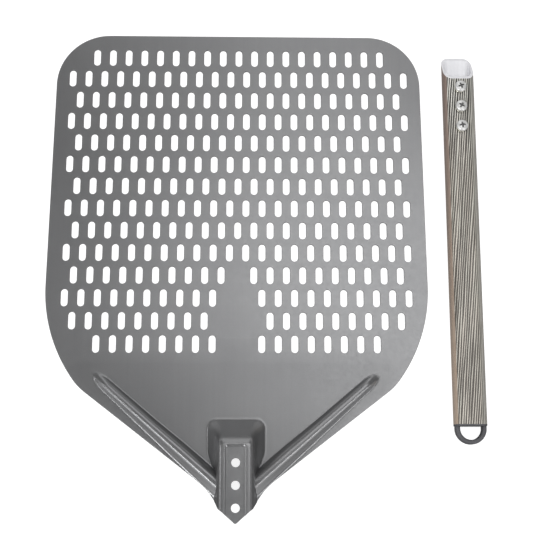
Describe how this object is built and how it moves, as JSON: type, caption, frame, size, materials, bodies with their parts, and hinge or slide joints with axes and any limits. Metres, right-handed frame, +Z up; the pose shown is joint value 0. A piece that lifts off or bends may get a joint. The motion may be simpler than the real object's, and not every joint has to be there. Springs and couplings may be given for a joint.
{
  "type": "pizza peel",
  "caption": "Perforated aluminium pizza peel blade with stiffening ribs and a raised neck, and its tube handle with screws and a hanging loop lying loose beside it.",
  "frame": {"origin": "on the blade's underside, on its centre line, 106 mm ahead of the tongue's tip, in the plain land between the hood and the slots", "axes": "+Y along the blade towards its front edge, +X towards the side the loose handle lies on, +Z up"},
  "size_m": [0.3506, 0.402, 0.0235],
  "materials": {
    "blade_anodised": "fine satin, grey hard anodised sheet",
    "handle_film": "streaked grey and brown wood-grain transfer film on extruded tube",
    "loop_plastic": "moulded, matte dark grey",
    "nut_steel": "yellowish zinc plate",
    "screw_steel": "bright zinc plate"
  },
  "bodies": {
    "blade_body": {"blade": "blade_anodised"},
    "nut_carrier": {"rivet_nut_middle": "nut_steel"},
    "handle_body": {"handle_tube": "handle_film", "end_plug_loop": "loop_plastic", "rivet_nut_front": "nut_steel", "rivet_nut_rear": "nut_steel"},
    "screw_front_body": {"screw_front": "screw_steel"},
    "screw_middle_body": {"screw_middle": "screw_steel"},
    "screw_rear_body": {"screw_rear": "screw_steel"}
  },
  "joints": [
    {"name": "handle_swing", "type": "hinge", "parent": "blade_body", "child": "nut_carrier", "pos_m": [0.34631, -0.077, 0], "axis": [0, 0, 1], "range_deg": [-298.06, 0]},
    {"name": "handle_level", "type": "hinge", "parent": "nut_carrier", "child": "handle_body", "pos_m": [0.1834, 0.2286, 0], "axis": [0, 0, 1], "range_deg": [0, 298.06]},
    {"name": "screw_front_out", "type": "slide", "parent": "handle_body", "child": "screw_front_body", "axis": [0, 0, 1], "range_m": [0, 0.014]},
    {"name": "screw_middle_out", "type": "slide", "parent": "handle_body", "child": "screw_middle_body", "axis": [0, 0, 1], "range_m": [0, 0.014]},
    {"name": "screw_rear_out", "type": "slide", "parent": "handle_body", "child": "screw_rear_body", "axis": [0, 0, 1], "range_m": [0, 0.014]}
  ],
  "couplings": [
    {"joint": "handle_level", "follows": "handle_swing", "ratio": -1}
  ]
}
